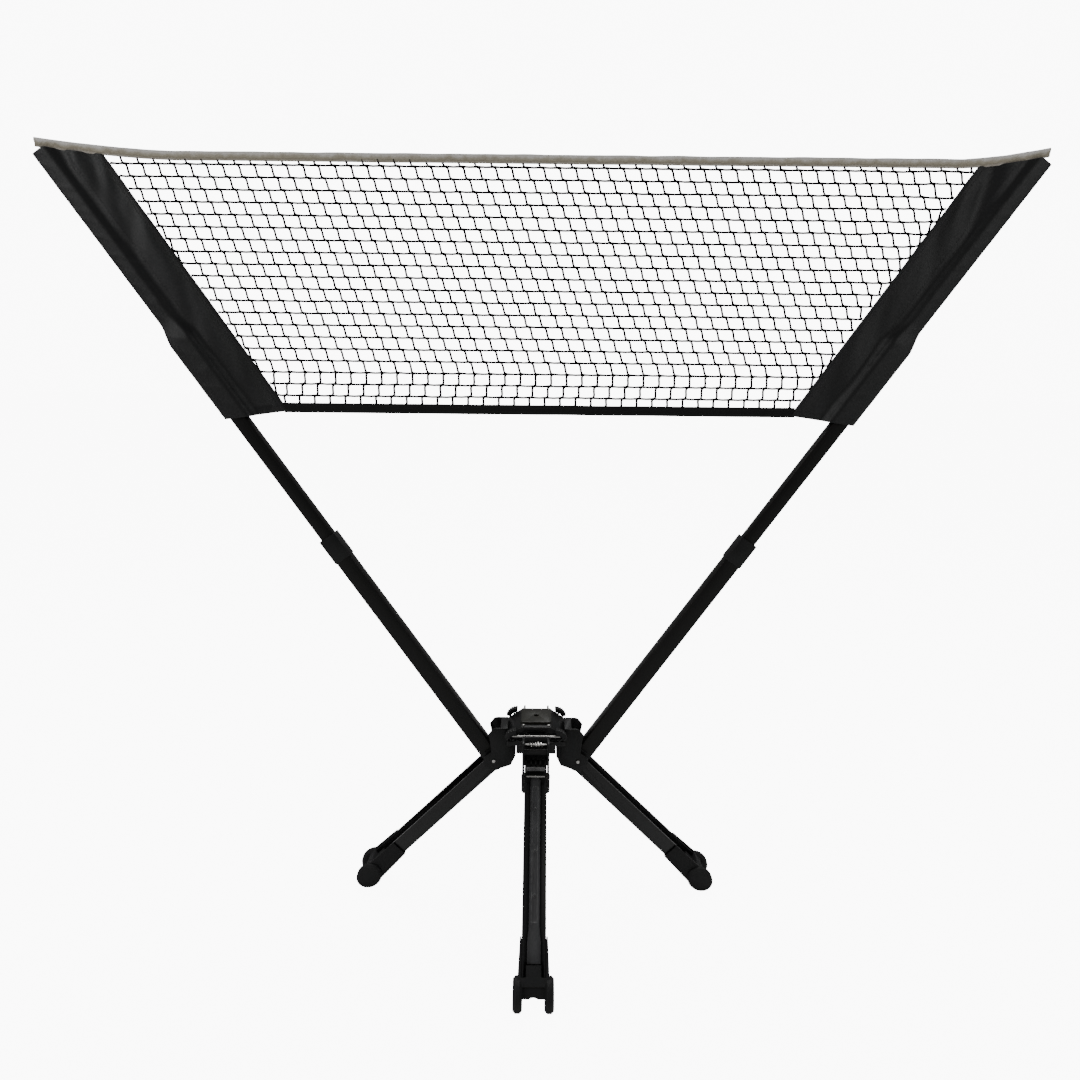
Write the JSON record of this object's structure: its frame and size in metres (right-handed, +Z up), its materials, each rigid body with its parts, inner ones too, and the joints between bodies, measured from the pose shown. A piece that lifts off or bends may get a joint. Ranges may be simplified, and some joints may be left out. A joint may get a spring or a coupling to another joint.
{
  "type": "folding practice net",
  "caption": "Low net held by two telescoping arms in a V on a folding four-legged stand, for paddle, racket and ball practice.",
  "frame": {"origin": "on the ground under the middle of the hub", "axes": "+Z up, +X along the net toward its right end, -Y toward the viewer; the front leg points along -Y"},
  "size_m": [1.1034, 0.44, 0.882],
  "materials": {
    "black_nylon": "satin moulded nylon",
    "grey_nylon": "satin moulded nylon, a little lighter",
    "plate_olive": "satin olive grey",
    "bright_steel": "bright plated steel",
    "rubber": "matt black rubber",
    "anodised_black": "black anodised, satin",
    "sleeve_cloth": "black woven nylon with a low sheen",
    "net_cord": "black knotless cord",
    "tape_cloth": "off-white tape"
  },
  "bodies": {
    "hub": {"hub_core": "black_nylon", "top_plate": "plate_olive", "shoulder_ring_front_left": "black_nylon", "deck_rivet_front_left": "bright_steel", "shoulder_ring_front_right": "black_nylon", "deck_rivet_front_right": "bright_steel", "cross_pin_front": "bright_steel", "lock_spring_front": "bright_steel", "spring_axle_front": "bright_steel", "shoulder_ring_rear_left": "black_nylon", "deck_rivet_rear_left": "bright_steel", "shoulder_ring_rear_right": "black_nylon", "deck_rivet_rear_right": "bright_steel", "cross_pin_rear": "bright_steel", "lock_spring_rear": "bright_steel", "spring_axle_rear": "bright_steel", "bracket_right": "black_nylon", "pivot_pin_right": "bright_steel", "bracket_front": "black_nylon", "pivot_pin_front": "bright_steel", "bracket_left": "black_nylon", "pivot_pin_left": "bright_steel", "bracket_rear": "black_nylon", "pivot_pin_rear": "bright_steel"},
    "right_leg": {"leg_right": "black_nylon", "leg_rail_right": "grey_nylon", "foot_right": "rubber"},
    "front_leg": {"leg_front": "black_nylon", "leg_rail_front": "grey_nylon", "foot_front": "rubber"},
    "left_leg": {"leg_left": "black_nylon", "leg_rail_left": "grey_nylon", "foot_left": "rubber"},
    "rear_leg": {"leg_rear": "black_nylon", "leg_rail_rear": "grey_nylon", "foot_rear": "rubber"},
    "right_arm": {"arm_knuckle_right": "black_nylon", "lower_tube_right": "anodised_black", "lower_collar_right": "black_nylon", "sleeve_right": "sleeve_cloth"},
    "right_mid": {"mid_tube_right": "anodised_black", "mid_bush_right": "black_nylon", "mid_collar_right": "black_nylon"},
    "right_upper": {"upper_tube_right": "anodised_black", "upper_bush_right": "black_nylon", "tip_cap_right": "black_nylon"},
    "left_arm": {"arm_knuckle_left": "black_nylon", "lower_tube_left": "anodised_black", "lower_collar_left": "black_nylon", "sleeve_left": "sleeve_cloth"},
    "left_mid": {"mid_tube_left": "anodised_black", "mid_bush_left": "black_nylon", "mid_collar_left": "black_nylon"},
    "left_upper": {"upper_tube_left": "anodised_black", "upper_bush_left": "black_nylon", "tip_cap_left": "black_nylon"},
    "net": {"net_mesh": "net_cord", "top_tape": "tape_cloth", "bottom_band": "sleeve_cloth"}
  },
  "joints": [
    {"name": "right_leg_fold", "type": "hinge", "parent": "hub", "child": "right_leg", "pos_m": [0.0507, 0, 0.169], "axis": [0, 1, 0], "range_deg": [0, 45]},
    {"name": "front_leg_fold", "type": "hinge", "parent": "hub", "child": "front_leg", "pos_m": [0, -0.0507, 0.169], "axis": [1, 0, 0], "range_deg": [0, 45]},
    {"name": "left_leg_fold", "type": "hinge", "parent": "hub", "child": "left_leg", "pos_m": [-0.0507, 0, 0.169], "axis": [0, -1, 0], "range_deg": [0, 45]},
    {"name": "rear_leg_fold", "type": "hinge", "parent": "hub", "child": "rear_leg", "pos_m": [0, 0.0507, 0.169], "axis": [-1, 0, 0], "range_deg": [0, 45]},
    {"name": "right_arm_fold", "type": "hinge", "parent": "hub", "child": "right_arm", "pos_m": [0.0507, 0, 0.169], "axis": [0, -1, 0], "range_deg": [0, 30], "deforming": ["net_mesh", "top_tape", "bottom_band"]},
    {"name": "left_arm_fold", "type": "hinge", "parent": "hub", "child": "left_arm", "pos_m": [-0.0507, 0, 0.169], "axis": [0, 1, 0], "range_deg": [0, 30]},
    {"name": "net_rise", "type": "slide", "parent": "hub", "child": "net", "axis": [0, 0, 1], "range_m": [0, 0.112]},
    {"name": "right_mid_slide", "type": "slide", "parent": "right_arm", "child": "right_mid", "axis": [0.5736, 0, 0.8192], "range_m": [-0.16, 0]},
    {"name": "right_upper_slide", "type": "slide", "parent": "right_mid", "child": "right_upper", "axis": [0.5736, 0, 0.8192], "range_m": [-0.16, 0]},
    {"name": "left_mid_slide", "type": "slide", "parent": "left_arm", "child": "left_mid", "axis": [-0.5736, 0, 0.8192], "range_m": [-0.16, 0]},
    {"name": "left_upper_slide", "type": "slide", "parent": "left_mid", "child": "left_upper", "axis": [-0.5736, 0, 0.8192], "range_m": [-0.16, 0]}
  ],
  "couplings": [
    {"joint": "front_leg_fold", "follows": "right_leg_fold", "ratio": 1},
    {"joint": "left_leg_fold", "follows": "right_leg_fold", "ratio": 1},
    {"joint": "rear_leg_fold", "follows": "right_leg_fold", "ratio": 1},
    {"joint": "left_arm_fold", "follows": "right_arm_fold", "ratio": 1},
    {"joint": "net_rise", "follows": "right_arm_fold", "m_per_rad": 0.2101}
  ]
}
